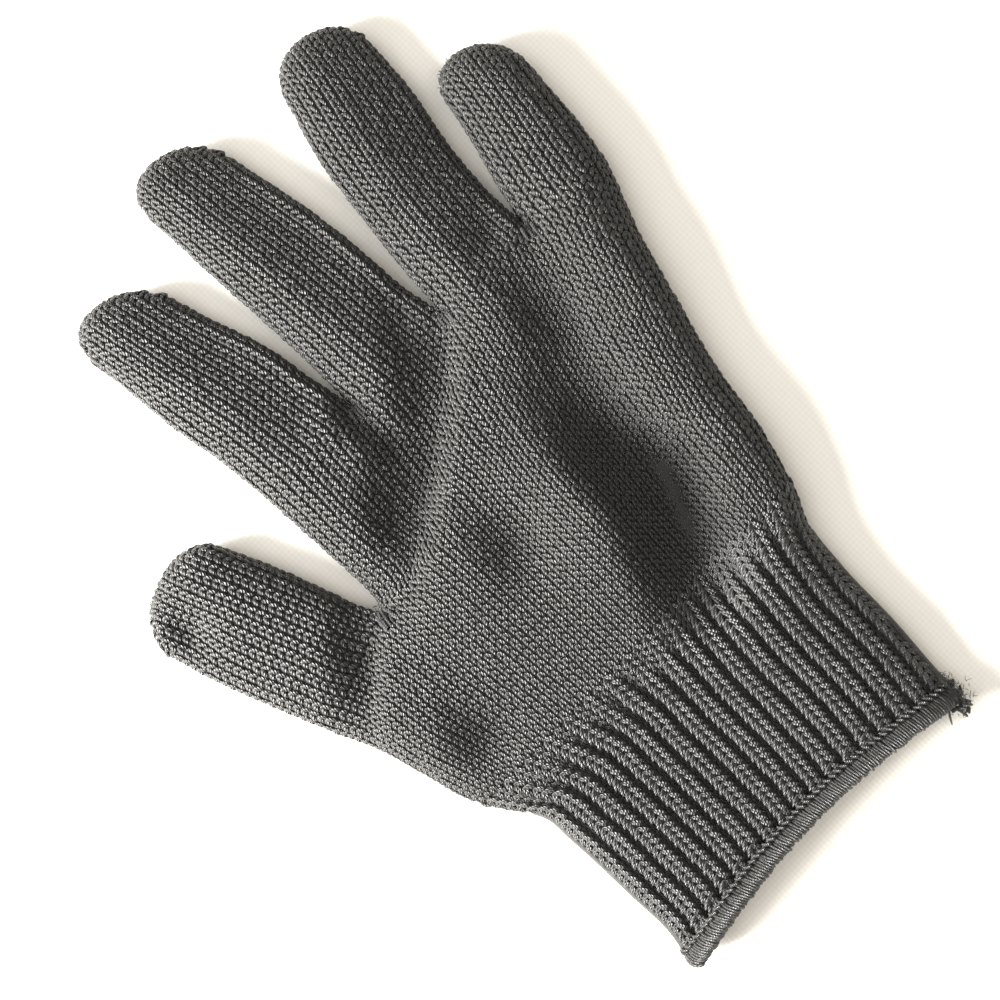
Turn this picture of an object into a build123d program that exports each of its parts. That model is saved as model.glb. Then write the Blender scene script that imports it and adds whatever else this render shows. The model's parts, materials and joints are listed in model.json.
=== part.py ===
from build123d import *

import os
from collections import namedtuple
from math import cos, radians, sin, tan

# A seamless knitted glove, lying on its flat back with the palm up: fingers along +Y, thumb towards -X.
# The origin is on the flat back, under the middle of the palm. All lengths are in millimetres.

# The knit, and the flat rounded section that every tube of it has
knit_wall = 1.4  # thickness of one knitted layer
sleeve_thickness = 12.0  # height of a tube as it lies, slightly puffed
side_round = 5.4  # radius between a tube's top or bottom and its sides

# Creases, where one sleeve folds against the next
crease_height = 8.5  # height of the fold lines of fingers, thumb and palm above the flat back
wrist_crease_height = 6.0  # the cuff folds both ways, so its line is half way up
crease_slit = 0.5  # gap between two sleeves at their crease
fold_margin = 3.0  # degrees that half a notch opens beyond half of its fold
root_fold = 75.0
finger_folds = (85.0, 55.0)  # at the middle joint and at the tip joint
thumb_root_fold = 60.0
thumb_folds = (60.0,)
palm_fold = 35.0
wrist_fold = 60.0
wrist_back_fold = 40.0

# Lines across the palm, as lengths along Y from the wrist
wrist_line = -40.0
rib_band_length = 15.0  # the ribs run on above the wrist
lower_palm_length = 49.0
upper_palm_length = 46.0
rib_end_line = wrist_line + rib_band_length
palm_fold_line = rib_end_line + lower_palm_length
root_line = palm_fold_line + upper_palm_length

# Left and right edges at those lines
wrist_edges = (-49.4, 48.7)
rib_end_edges = (-59.4, 55.4)
palm_right_edge = 68.0  # at the palm fold
upper_palm_left = -39.6

# Fingers. Lengths are along each finger from its root, and headings are degrees from +Y towards +X.
Finger = namedtuple("Finger", "name width tip_width heading creases length")
fingers = (
    Finger(name="index", width=31.0, tip_width=26.5, heading=-9.5, creases=(20.0, 39.0), length=59.5),
    Finger(name="middle", width=31.0, tip_width=27.0, heading=-4.5, creases=(22.0, 45.0), length=74.0),
    Finger(name="ring", width=30.0, tip_width=27.0, heading=9.5, creases=(22.0, 44.0), length=70.0),
    Finger(name="little", width=27.4, tip_width=23.5, heading=10.5, creases=(13.0, 26.0), length=39.5),
)
finger_gap = 1.0  # between the roots of two fingers
segment_names = ("base", "mid", "tip")
blank_overlap = 12.0  # length of sleeve made behind a root and cut away again

# Thumb. Its root runs from the crotch beside the palm fold, square to its heading.
thumb = Finger(name="thumb", width=33.6, tip_width=33.0, heading=-20.5, creases=(27.0,), length=55.4)
thumb_gap = 0.9  # between the thumb's root and the upper palm

# Small yarn pieces
closing_width = 9.0  # bound-off stitches across a fingertip
closing_height = 2.4
closing_depth = 3.0
closing_stand = 0.6  # how far they stand out of the tip
join_width = 1.8  # linking stitches between two finger roots
join_length = 4.0
join_setback = 5.0  # from the root line
join_stand = 0.3  # height above the palm

# Cuff: ribs, elastic threads and overlocked hem. Its mouth dips in the middle.
cuff_length_left = 54.2
cuff_length_middle = 49.0
cuff_length_right = 56.5
mouth_edges = (-48.6, 45.4)  # at the length of the cuff's left side
rib_count = 14
rib_groove_width = 2.2
rib_groove_depth = 0.4
elastic_thread = 0.7  # thickness of one elastic thread
elastic_pitch = 6.0
elastic_setback = 6.5  # first thread from the wrist line
hem_width = 5.0
hem_bulge = 0.8  # how far the overlock stands out of the cuff
hem_lining = 0.5  # how far it stands into the mouth
hem_core = 0.5  # thickness of cuff edge that the overlock wraps
hem_lap = 1.0  # overlock beyond that edge
tail_diameter = 2.2  # end of the overlock chain
tail_height = 1.4  # of its middle line
tail_place = 0.92  # share of the way along the mouth where it starts
tail_reach = 8.0
tail_drop = 5.0


def save(piece, name):
    """Labels a finished piece and writes its STEP file."""
    piece.label = name
    export_step(piece, f"parts/{name}.step")


def crease_plane(x, y, heading, height):
    """Plane on a crease: its x runs along the sleeve, its y points up and its z is the fold's axis."""
    along = (sin(radians(heading)), cos(radians(heading)), 0)
    axis = (cos(radians(heading)), -sin(radians(heading)), 0)
    return Plane(origin=(x, y, height), x_dir=along, z_dir=axis)


def crease_cutter(plane, reach, fold, back_fold=0.0):
    """Slit through a crease, with a V notch above it that the fold closes and one below for a back fold."""
    half = crease_slit / 2
    depth = 2 * sleeve_thickness
    above = half + depth * tan(radians(fold / 2 + fold_margin))
    below = half + depth * tan(radians(back_fold / 2 + fold_margin)) if back_fold else half
    with BuildPart() as cutter:
        with BuildSketch(plane):
            with BuildLine():
                Polyline((-below, -depth), (-half, 0), (-above, depth))
                Polyline((-above, depth), (above, depth), (half, 0))
                Polyline((half, 0), (below, -depth), (-below, -depth))
            make_face()
        extrude(amount=reach, both=True)
    return cutter.part


def flat_tube(lines, grow=0.0, underside=0.0):
    """Solid with flat rounded sections between two lines of (y, left, right), grown at the sides and the top."""
    (y0, left0, right0), (y1, left1, right1) = lines
    with BuildPart() as tube:
        with BuildSketch(Plane.XY.offset(underside)):
            with BuildLine():
                Polyline(
                    (left0 - grow, y0),
                    (right0 + grow, y0),
                    (right1 + grow, y1),
                    (left1 - grow, y1),
                    close=True,
                )
            make_face()
        extrude(amount=sleeve_thickness + grow - underside)
        levels = tube.edges().group_by(Axis.Z)
        fillet((levels[0] + levels[-1]).filter_by(Axis.X, reverse=True), side_round + grow)
    return tube.part


def tube_layer(lines, outer, inner):
    """Open tube of the knit that lies between two depths below its outside."""
    with BuildPart() as layer:
        add(flat_tube(lines, -outer, outer))
        add(flat_tube(lines, -inner, inner), mode=Mode.SUBTRACT)
    return layer.part


def finger_blank(plane, finger, inset):
    """Round-ended pillow of a finger: its outside with no inset, the space inside it with the wall's."""
    half_root = finger.width / 2 - inset
    half_tip = finger.tip_width / 2 - inset
    shoulder = finger.length - finger.tip_width / 2
    with BuildPart() as blank:
        with BuildSketch(plane.offset(inset)):
            with BuildLine():
                Polyline(
                    (-half_tip, shoulder),
                    (-half_root, -blank_overlap),
                    (half_root, -blank_overlap),
                    (half_tip, shoulder),
                )
                ThreePointArc((half_tip, shoulder), (0, finger.length - inset), (-half_tip, shoulder))
            make_face()
        extrude(amount=sleeve_thickness - 2 * inset)
        levels = blank.edges().group_by(Axis.Z)
        fillet(levels[0] + levels[-1], side_round - inset)
    return blank.part


def finger_pieces(finger, root_x, root_y, root_cutter, folds):
    """The sleeves of a finger, root to tip, and the bound-off stitches that close its tip."""
    axis = (cos(radians(finger.heading)), -sin(radians(finger.heading)), 0)
    along = (sin(radians(finger.heading)), cos(radians(finger.heading)), 0)
    plane = Plane(origin=(root_x, root_y, 0), x_dir=axis, z_dir=(0, 0, 1))
    closing_start = finger.length + closing_stand - closing_depth
    with BuildPart() as closing:
        with BuildSketch(plane.offset((sleeve_thickness - closing_height) / 2)):
            with Locations((0, closing_start + closing_depth / 2)):
                RectangleRounded(closing_width, closing_depth, closing_stand)
        extrude(amount=closing_height)
    with BuildPart() as sleeves:
        add(finger_blank(plane, finger, 0))
        add(finger_blank(plane, finger, knit_wall), mode=Mode.SUBTRACT)
        add(closing.part, mode=Mode.SUBTRACT)
        add(root_cutter, mode=Mode.SUBTRACT)
        for distance, fold in zip(finger.creases, folds):
            x = root_x + distance * along[0]
            y = root_y + distance * along[1]
            crease = crease_plane(x, y, finger.heading, crease_height)
            add(crease_cutter(crease, finger.width, fold), mode=Mode.SUBTRACT)
    cut_off, *segments = sleeves.solids().sort_by(Axis(origin=(root_x, root_y, 0), direction=along))
    return segments, closing.part


def save_finger(finger, segments, closing):
    """Writes a finger's sleeves, base first and tip last, and its closing."""
    names = [segment_names[0], *segment_names[-len(finger.creases):]]
    for name, segment in zip(names, segments):
        with BuildPart() as sleeve:
            add(segment)
        save(sleeve.part, f"{finger.name}_{name}_sleeve")
    save(closing, f"{finger.name}_tip_closing")


def rib_grooves(lower, upper):
    """Grooves between the ribs, on top and underneath, fanned between two lines of (y, left, right)."""
    with BuildPart() as grooves:
        for floor in (0, sleeve_thickness - rib_groove_depth):
            with BuildSketch(Plane.XY.offset(floor)):
                for i in range(1, rib_count):
                    ends = []
                    for y, left, right in (lower, upper):
                        flat_left = left + side_round
                        flat_width = right - left - 2 * side_round
                        ends.append((flat_left + flat_width * i / rib_count, y))
                    (x0, y0), (x1, y1) = ends
                    half = rib_groove_width / 2
                    with BuildLine():
                        Polyline((x0 - half, y0), (x0 + half, y0), (x1 + half, y1), (x1 - half, y1), close=True)
                    make_face()
            extrude(amount=rib_groove_depth)
    return grooves.part


def cuff_line(length):
    """The cuff's (y, left, right) at a length from the wrist line."""
    share = length / cuff_length_left
    left, right = (a + (b - a) * share for a, b in zip(wrist_edges, mouth_edges))
    return (wrist_line - length, left, right)


def mouth_line(rise):
    """Line along the cuff's dipped mouth, moved up the cuff by a rise and run on past its sides."""
    left = mouth_edges[0] - side_round
    right = mouth_edges[1] + side_round
    with BuildLine() as line:
        ThreePointArc(
            (left, wrist_line - cuff_length_left + rise),
            ((left + right) / 2, wrist_line - cuff_length_middle + rise),
            (right, wrist_line - cuff_length_right + rise),
        )
    return line.line


def mouth_strip(start, end):
    """Strip along the cuff's mouth, between two distances from its edge, taller than the cuff."""
    lower, upper = mouth_line(start), mouth_line(end)
    with BuildPart() as strip:
        with BuildSketch(Plane.XY.offset(-sleeve_thickness)):
            with BuildLine():
                add(lower)
                add(upper)
                Line(lower @ 0, upper @ 0)
                Line(lower @ 1, upper @ 1)
            make_face()
        extrude(amount=3 * sleeve_thickness)
    return strip.part


def elastic_rings(inner):
    """Rings of elastic thread in the cuff's wall, from their seats in it down to an inner depth."""
    count = int((cuff_length_middle - hem_width - elastic_setback) / elastic_pitch)
    with BuildPart() as rings:
        for i in range(count):
            length = elastic_setback + i * elastic_pitch
            thread_lines = (cuff_line(length + elastic_thread), cuff_line(length))
            add(tube_layer(thread_lines, knit_wall - elastic_thread, inner))
    return rings.part


os.makedirs("parts", exist_ok=True)

# Fingers, side by side along the root line
root_plane = crease_plane(0, root_line, 0, crease_height)
root_cutter = crease_cutter(root_plane, 2 * sum(f.width for f in fingers), root_fold)
edge = upper_palm_left
join_places = []
for finger in fingers:
    segments, closing = finger_pieces(finger, edge + finger.width / 2, root_line, root_cutter, finger_folds)
    save_finger(finger, segments, closing)
    edge += finger.width + finger_gap
    join_places.append((edge - finger_gap / 2, root_line - join_setback - join_length / 2))
upper_palm_right = edge - finger_gap
join_places.pop()

# Thumb, from its crotch
across = (cos(radians(thumb.heading)), -sin(radians(thumb.heading)))
thumb_x = upper_palm_left - thumb_gap - across[0] * thumb.width / 2
thumb_y = palm_fold_line - across[1] * thumb.width / 2
thumb_root = crease_plane(thumb_x, thumb_y, thumb.heading, crease_height)
thumb_cutter = crease_cutter(thumb_root, thumb.width / 2 + 2 * thumb_gap, thumb_root_fold)
segments, closing = finger_pieces(thumb, thumb_x, thumb_y, thumb_cutter, thumb_folds)
save_finger(thumb, segments, closing)

# Linking stitches at the crotches, each a bar through both layers of the palm
join_names = ("index_middle_join", "middle_ring_join", "ring_little_join")
thumb_join_place = (upper_palm_left, palm_fold_line - join_setback - join_length / 2)
joins = {}
for name, place in (*zip(join_names, join_places), ("thumb_index_join", thumb_join_place)):
    with BuildPart() as join:
        with BuildSketch():
            with Locations(place):
                SlotOverall(join_length, join_width, rotation=90)
        extrude(amount=sleeve_thickness + join_stand)
    joins[name] = join.part
    save(join.part, name)

# Upper palm, a flat tube from the palm fold to the finger roots
fold_cutter = crease_cutter(crease_plane(0, palm_fold_line, 0, crease_height), 2 * palm_right_edge, palm_fold)
upper_palm_lines = (
    (palm_fold_line, upper_palm_left, palm_right_edge),
    (root_line, upper_palm_left, upper_palm_right),
)
with BuildPart() as palm_upper:
    add(tube_layer(upper_palm_lines, 0, knit_wall))
    add(fold_cutter, mode=Mode.SUBTRACT)
    add(root_cutter, mode=Mode.SUBTRACT)
    for name in join_names:
        add(joins[name], mode=Mode.SUBTRACT)
save(palm_upper.part, "palm_upper")

# Lower palm, which widens to the thumb's root and is cut off there
thumb_side = thumb_x - across[0] * thumb.width / 2
thumb_end = thumb_y - across[1] * thumb.width / 2
side_slope = (thumb_side - rib_end_edges[0]) / (thumb_end - rib_end_line)
lower_palm_left = rib_end_edges[0] + side_slope * lower_palm_length
lower_palm_lines = (
    (rib_end_line, *rib_end_edges),
    (palm_fold_line, lower_palm_left, palm_right_edge),
)
with BuildPart() as palm_blank:
    add(tube_layer(lower_palm_lines, 0, knit_wall))
    add(fold_cutter, mode=Mode.SUBTRACT)
    add(thumb_cutter, mode=Mode.SUBTRACT)
    add(joins["thumb_index_join"], mode=Mode.SUBTRACT)
with BuildPart() as palm_lower:
    add(palm_blank.solids().sort_by(SortBy.VOLUME)[-1])
save(palm_lower.part, "palm_lower")

# Rib band, where the cuff's ribs run on into the palm
wrist_plane = crease_plane(0, wrist_line, 0, wrist_crease_height)
wrist_cutter = crease_cutter(wrist_plane, 2 * palm_right_edge, wrist_fold, wrist_back_fold)
band_lines = ((wrist_line, *wrist_edges), (rib_end_line, *rib_end_edges))
with BuildPart() as rib_band:
    add(tube_layer(band_lines, 0, knit_wall))
    add(rib_grooves(*band_lines), mode=Mode.SUBTRACT)
    add(wrist_cutter, mode=Mode.SUBTRACT)
save(rib_band.part, "rib_band")

# Overlocked hem, wrapped round the cuff's thinned edge inside and out
cuff_lines = (cuff_line(cuff_length_right + hem_width), cuff_line(0))
core_depth = (knit_wall - hem_core) / 2
with BuildPart() as hem_space:
    add(tube_layer(cuff_lines, core_depth, knit_wall - core_depth))
    add(mouth_strip(hem_lap, 2 * hem_width), mode=Mode.INTERSECT)
with BuildPart() as hem_overlock:
    add(flat_tube(cuff_lines, hem_bulge))
    add(mouth_strip(0, hem_width), mode=Mode.INTERSECT)
    add(flat_tube(cuff_lines, -knit_wall - hem_lining, knit_wall + hem_lining), mode=Mode.SUBTRACT)
    add(hem_space.part, mode=Mode.SUBTRACT)
save(hem_overlock.part, "hem_overlock")

# Elastic threads, laid round the inside of the cuff
cuff_elastic = elastic_rings(knit_wall)
save(cuff_elastic, "cuff_elastic")

# Ribbed cuff
with BuildPart() as cuff_rib:
    add(tube_layer(cuff_lines, 0, knit_wall))
    add(mouth_strip(hem_lap, 2 * cuff_length_right), mode=Mode.INTERSECT)
    add(rib_grooves(*cuff_lines), mode=Mode.SUBTRACT)
    add(wrist_cutter, mode=Mode.SUBTRACT)
    add(hem_overlock.part, mode=Mode.SUBTRACT)
    add(elastic_rings(2 * knit_wall), mode=Mode.SUBTRACT)
save(cuff_rib.part, "cuff_rib")

# End of the overlock chain, a short curl that lies below the mouth's right corner, cut off where it leaves the hem
tail_start = mouth_line(hem_lap / 2) @ tail_place
with BuildPart() as overlock_tail:
    with BuildLine() as tail_path:
        ThreePointArc(
            (tail_start.X, tail_start.Y, tail_height),
            (tail_start.X - tail_reach / 4, tail_start.Y - tail_drop, tail_height),
            (tail_start.X - tail_reach, tail_start.Y - tail_drop, tail_height),
        )
    with BuildSketch(Plane(origin=tail_path.line @ 0, z_dir=tail_path.line % 0)):
        Circle(tail_diameter / 2)
    sweep()
    add(hem_overlock.part, mode=Mode.SUBTRACT)
save(overlock_tail.solids().sort_by(SortBy.VOLUME)[-1], "overlock_tail")
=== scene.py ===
import json
import math
from collections import namedtuple

import bpy
import numpy as np
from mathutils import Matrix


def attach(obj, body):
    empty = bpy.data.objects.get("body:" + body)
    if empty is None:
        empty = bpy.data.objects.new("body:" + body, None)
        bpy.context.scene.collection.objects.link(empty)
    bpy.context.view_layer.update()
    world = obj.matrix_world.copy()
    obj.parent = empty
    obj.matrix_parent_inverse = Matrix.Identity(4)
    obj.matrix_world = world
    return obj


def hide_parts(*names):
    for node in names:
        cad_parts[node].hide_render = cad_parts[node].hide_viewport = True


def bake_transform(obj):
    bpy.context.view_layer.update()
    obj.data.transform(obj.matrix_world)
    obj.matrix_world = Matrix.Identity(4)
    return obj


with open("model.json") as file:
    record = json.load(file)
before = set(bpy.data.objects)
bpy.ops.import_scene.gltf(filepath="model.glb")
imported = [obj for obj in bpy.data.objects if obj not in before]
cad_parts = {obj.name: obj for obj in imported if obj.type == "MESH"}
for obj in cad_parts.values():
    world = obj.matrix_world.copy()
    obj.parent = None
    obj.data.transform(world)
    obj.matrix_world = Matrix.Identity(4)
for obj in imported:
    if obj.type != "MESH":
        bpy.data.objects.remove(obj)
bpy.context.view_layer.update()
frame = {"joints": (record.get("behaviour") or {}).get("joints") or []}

mm = 0.001  # lengths below are in millimetres, and meshes are written in metres


# ------------------------------------------------------------
# The place where the glove lies, and how it is seen
# A pale table top, lit by a wide soft light at the fingers' left and a fainter one opposite. The camera
# looks straight down, turned so that the fingers point to its upper left.

view_middle = (0.5, 22.0)
view_width = 250.0
view_turn = -46.6  # degrees
camera_lens = 50.0
camera_sensor = 36.0
table_size = 3000.0

camera_height = view_width / 2 / (camera_sensor / 2 / camera_lens) + 6  # the view is measured at the outline
camera_data = bpy.data.cameras.new("camera")
camera_data.lens = camera_lens
camera_data.sensor_width = camera_sensor
camera_data.clip_start = 0.01
camera_data.clip_end = 20
camera = bpy.data.objects.new("camera", camera_data)
camera.location = (view_middle[0] * mm, view_middle[1] * mm, camera_height * mm)
camera.rotation_euler = (0, 0, math.radians(view_turn))
bpy.context.scene.collection.objects.link(camera)
bpy.context.scene.camera = camera
bpy.context.scene.view_settings.view_transform = "Standard"


def soft_light(name, bearing, elevation, distance, size, power, color):
    """Square area light, aimed at the middle of the view from a bearing in degrees from +X."""
    data = bpy.data.lights.new(name, "AREA")
    data.size = size * mm
    data.energy = power
    data.color = color
    light = bpy.data.objects.new(name, data)
    b, e, reach = math.radians(bearing), math.radians(elevation), distance * mm
    offset = (reach * math.cos(e) * math.cos(b), reach * math.cos(e) * math.sin(b), reach * math.sin(e))
    light.location = (view_middle[0] * mm + offset[0], view_middle[1] * mm + offset[1], offset[2])
    light.rotation_euler = (math.pi / 2 - e, 0, b + math.pi / 2)
    bpy.context.scene.collection.objects.link(light)


soft_light("window light", bearing=158, elevation=21, distance=680, size=330, power=36,
           color=(1, 0.985, 0.96))
soft_light("high light", bearing=130, elevation=60, distance=900, size=800, power=6, color=(1, 0.98, 0.95))
soft_light("fill light", bearing=-35, elevation=55, distance=900, size=700, power=2, color=(1, 0.90, 0.78))

world = bpy.data.worlds.new("room")
world.use_nodes = True
world.node_tree.nodes["Background"].inputs["Color"].default_value = (1.0, 0.975, 0.94, 1)
world.node_tree.nodes["Background"].inputs["Strength"].default_value = 0.32
bpy.context.scene.world = world


def new_material(name):
    """Empty node material, with its node tree and its shader."""
    material = bpy.data.materials.new(name)
    material.use_nodes = True
    return material, material.node_tree, material.node_tree.nodes["Principled BSDF"]


def feed(tree, node, given):
    """Sets inputs of a node, each to a value or to the socket that feeds it."""
    for label, value in given.items():
        if isinstance(value, bpy.types.NodeSocket):
            tree.links.new(value, node.inputs[label])
        else:
            node.inputs[label].default_value = value


def add_node(tree, kind, given=None, **settings):
    """Adds a node with its settings to a tree, and feeds its inputs."""
    node = tree.nodes.new(kind)
    for key, value in settings.items():
        setattr(node, key, value)
    feed(tree, node, given or {})
    return node


def mix_colours(tree, factor, first, second):
    """Colour between two others."""
    mix = add_node(tree, "ShaderNodeMix", {"Factor": factor, "A": first, "B": second}, data_type="RGBA")
    return mix.outputs["Result"]


table_material, tree, shader = new_material("table cloth")
place = add_node(tree, "ShaderNodeTexCoord").outputs["Object"]
warp, weft = (
    add_node(tree, "ShaderNodeTexWave", {"Vector": place, "Scale": 260},
             bands_direction=way).outputs["Color"]
    for way in ("X", "Y")
)
weave = mix_colours(tree, 0.5, warp, weft)
bump = add_node(tree, "ShaderNodeBump", {"Strength": 0.12, "Distance": 0.0003, "Height": weave})
feed(tree, shader, {
    "Roughness": 0.85,
    "Base Color": mix_colours(tree, weave, (0.86, 0.83, 0.77, 1), (0.92, 0.90, 0.85, 1)),
    "Normal": bump.outputs["Normal"],
})

half_table = table_size / 2 * mm
table_mesh = bpy.data.meshes.new("table")
table_corners = [(x * half_table, y * half_table, 0) for x, y in ((-1, -1), (1, -1), (1, 1), (-1, 1))]
table_mesh.from_pydata(table_corners, [], [(0, 1, 2, 3)])
table_mesh.materials.append(table_material)
table = bpy.data.objects.new("table", table_mesh)
bpy.context.scene.collection.objects.link(table)


# ------------------------------------------------------------
# The knitted hand: fingers, thumb and palm
# One seamless plain knit of thick charcoal yarn with a steel core, made as tubes that run into each
# other. Every stitch is a bent loop of yarn. The empty glove lies on its flat back, and its palm side
# keeps soft hills and folds.

wall = 1.2  # thickness of the ground under the stitches
course = 2.1  # length of one stitch
wale = 2.7  # usual width of one stitch
back_height = 1.25  # lowest ground of the back
side_height = 5.2  # height of the glove's outline
palm_height = 11.2  # usual top of the palm, without its hills
finger_height = 11.4
cuff_height = 10.6
rib_top = -27.0  # where the plain palm starts above the ribs
fork_row = 64.0  # last row that the four fingers share
outline_inset = 0.95  # the stitches stand this far out of the ground
samples_across = 40
thumb_start_row = 12.5  # where the thumb leaves the palm's left edge

joint_place = {j["name"]: np.array(j["pos_m"]) / mm for j in frame["joints"]}
joint_axis = {j["name"]: np.array(j["axis"]) for j in frame["joints"]}
fold_row = joint_place["palm_fold"][1]

# Edges are (along, across) points in a finger's own directions from the middle of its root. The tip is
# (along, across) of its end, and a shoulder is where an edge starts to round off towards it.
Finger = namedtuple("Finger", "name wales left right tip fullness")
fingers = (
    Finger("index", 11, ((12, -15.2), (24, -15.0), (36, -14.0), (53, -11.9)),
           ((6, 15.9), (18, 16.2), (30, 14.8), (42, 13.4)), (60.8, -4.8), 2.0),
    Finger("middle", 11, ((12, -15.0), (24, -14.2), (42, -13.4), (66, -11.9)),
           ((6, 15.8), (18, 16.2), (36, 16.0), (57, 14.2)), (74.2, -3.0), 2.0),
    Finger("ring", 11, ((8, -15.6), (24, -15.9), (42, -15.9), (56, -13.8)),
           ((10, 14.5), (24, 13.8), (42, 14.5), (56, 13.6)), (68.8, -1.2), 2.1),
    Finger("little", 10, ((6, -13.3), (12, -12.6), (20, -11.9), (30, -11.4)),
           ((6, 13.5), (12, 13.0), (18, 12.5), (23, 12.1)), (37.6, -2.0), 2.0),
    Finger("thumb", 12, ((0, -16.0), (12, -16.0), (30, -15.8), (41, -15.0)),
           ((4, 17.2), (14, 17.4), (30, 17.7), (43, 17.2)), (55.0, 1.0), 2.2),
)
left_palm_edge = (
    (-130, -51.6), (-93, -51.4), (-84, -49.0), (-70, -48.8), (-50, -49.0), (-40, -49.8), (-33, -54.4),
    (-25, -59.4), (-10, -63.3), (2, -66.6), (thumb_start_row, -71.2),
)
index_side_edge = ((24, -40.4), (30, -39.4), (45, -39.4), (60, -39.8), (70, -40.2))
right_palm_edge = (
    (-130, 44.6), (-85, 44.6), (-70, 46.2), (-50, 47.4), (-38, 49.4), (-28, 54.2), (-15, 58.5), (5, 62.4),
    (25, 68.1), (45, 74.4), (60, 80.6), (72, 83.6),
)
# Lines between two fingers' wales, from the ribs up to the crotch, as (y, x)
seams = (
    ((-27, -34.5), (0, -37.8), (24, -40.4)),
    ((-27, -11.0), (24, -12.6), (64, -7.7)),
    ((-27, 12.0), (24, 15.4), (64, 24.6)),
    ((-27, 34.8), (24, 43.0), (64, 54.6)),
)


def smooth_line(points):
    """Function that runs smoothly through a few (place, value) points."""
    places, values = np.array(points, float).T
    slopes = np.gradient(values, places)

    def value(at):
        at = np.asarray(at, float)
        i = np.clip(np.searchsorted(places, at) - 1, 0, len(places) - 2)
        gap = places[i + 1] - places[i]
        t = np.clip((at - places[i]) / gap, 0, 1)
        rise = t * t * (3 - 2 * t)
        bend = t * (1 - t) * gap * ((1 - t) * slopes[i] - t * slopes[i + 1])
        return values[i] * (1 - rise) + values[i + 1] * rise + bend

    return value


def ease(value, start, end):
    """0 before start, 1 after end, and smooth between them."""
    t = np.clip((np.asarray(value, float) - start) / (end - start), 0, 1)
    return t * t * (3 - 2 * t)


seam_x = [smooth_line(points) for points in seams]
left_x = smooth_line([(y, x + outline_inset) for y, x in left_palm_edge])
index_side_x = smooth_line([(y, x + outline_inset) for y, x in index_side_edge])
right_x = smooth_line([(y, x - outline_inset) for y, x in right_palm_edge])


class FingerPlan:
    """A finger's place, directions and edges in plan."""

    def __init__(self, finger, left_start, right_start):
        self.finger = finger
        self.root = joint_place[f"{finger.name}_root_fold"][:2]
        self.across = joint_axis[f"{finger.name}_tip_fold"][:2]
        self.along = np.array((-self.across[1], self.across[0]))
        starts = [self.local(np.array(p)) for p in (left_start, right_start)]
        edges = []
        sides = ((finger.left, outline_inset), (finger.right, -outline_inset))
        for start, (points, inset) in zip(starts, sides):
            kept = [(s, a + inset) for s, a in points if s > start[0] + 3]
            edges.append((tuple(start), *kept))
        self.left_points, self.right_points = edges
        self.left = smooth_line(self.left_points)
        self.right = smooth_line(self.right_points)
        self.shoulders = (self.left_points[-1], self.right_points[-1])

    def local(self, point):
        """(along, across) of a plan point."""
        offset = point - self.root
        return np.array((offset @ self.along, offset @ self.across))

    def plan(self, along, across):
        """Plan points from places along and across the finger."""
        return self.root + np.multiply.outer(along, self.along) + np.multiply.outer(across, self.across)

    def end(self, across):
        """Where a wale at a place across reaches the rounded tip."""
        top, middle = self.finger.tip[0] - outline_inset, self.finger.tip[1]
        low, edge = (np.where(across < middle, l, r) for l, r in zip(*self.shoulders))
        share = np.clip(np.abs((across - middle) / (edge - middle)), 0, 1)
        power = self.finger.fullness
        return low + (top - low) * (1 - share**power) ** (1 / power)

    def outline(self):
        """Plan points round the finger, up its left edge and down its right one."""
        ups = np.linspace(self.left_points[0][0], self.shoulders[0][0], 30)
        downs = np.linspace(self.shoulders[1][0], self.right_points[0][0], 30)
        turn = (1 - np.cos(np.linspace(0, np.pi, 50))) / 2
        tip = self.shoulders[0][1] + (self.shoulders[1][1] - self.shoulders[0][1]) * turn
        along = np.concatenate((ups[:-1], self.end(tip), downs[1:]))
        across = np.concatenate((self.left(ups[:-1]), tip, self.right(downs[1:])))
        return np.stack([self.plan(a, c) for a, c in zip(along, across)])


crotches = [(float(line(end)), end) for line, end in zip(seam_x, (fold_row, fork_row, fork_row, fork_row))]
starts = {
    "thumb": ((float(left_x(thumb_start_row)), thumb_start_row), crotches[0]),
    "index": ((float(index_side_x(fork_row)), fork_row), crotches[1]),
    "middle": (crotches[1], crotches[2]),
    "ring": (crotches[2], crotches[3]),
    "little": (crotches[3], (float(right_x(fork_row)), fork_row)),
}
plans = {f.name: FingerPlan(f, *starts[f.name]) for f in fingers}

rows_up = np.arange(-130, 12, 1.5)
side_up = np.arange(fold_row, fork_row, 1.5)
rows_down = np.arange(fork_row, -130, -1.5)
outline = np.concatenate([
    np.stack((left_x(rows_up), rows_up), 1),
    plans["thumb"].outline(),
    np.stack((index_side_x(side_up), side_up), 1),
    *[plans[name].outline() for name in ("index", "middle", "ring", "little")],
    np.stack((right_x(rows_down), rows_down), 1),
])


def line_distance(points, line, closed):
    """Distance of plan points from a broken line, with the nearest segment and its signed side."""
    starts = line if closed else line[:-1]
    spans = (np.roll(line, -1, axis=0) if closed else line[1:]) - starts
    lengths = np.maximum((spans**2).sum(1), 1e-9)
    best = np.full(len(points), 1e9)
    side = np.zeros(len(points))
    part = np.zeros(len(points))
    for first in range(0, len(points), 4000):
        chunk = slice(first, first + 4000)
        offset = points[chunk, None] - starts
        t = np.clip((offset * spans).sum(2) / lengths, 0, 1)
        gap = offset - t[..., None] * spans
        squared = (gap**2).sum(2)
        near = squared.argmin(1)
        rows = np.arange(len(near))
        best[chunk] = np.sqrt(squared[rows, near])
        turn = spans[near, 0] * offset[rows, near, 1] - spans[near, 1] * offset[rows, near, 0]
        side[chunk] = turn / np.maximum(np.sqrt(lengths[near] * squared[rows, near]), 1e-6)
        part[chunk] = (near + t[rows, near]) / len(starts)
    return best, side, part


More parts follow.
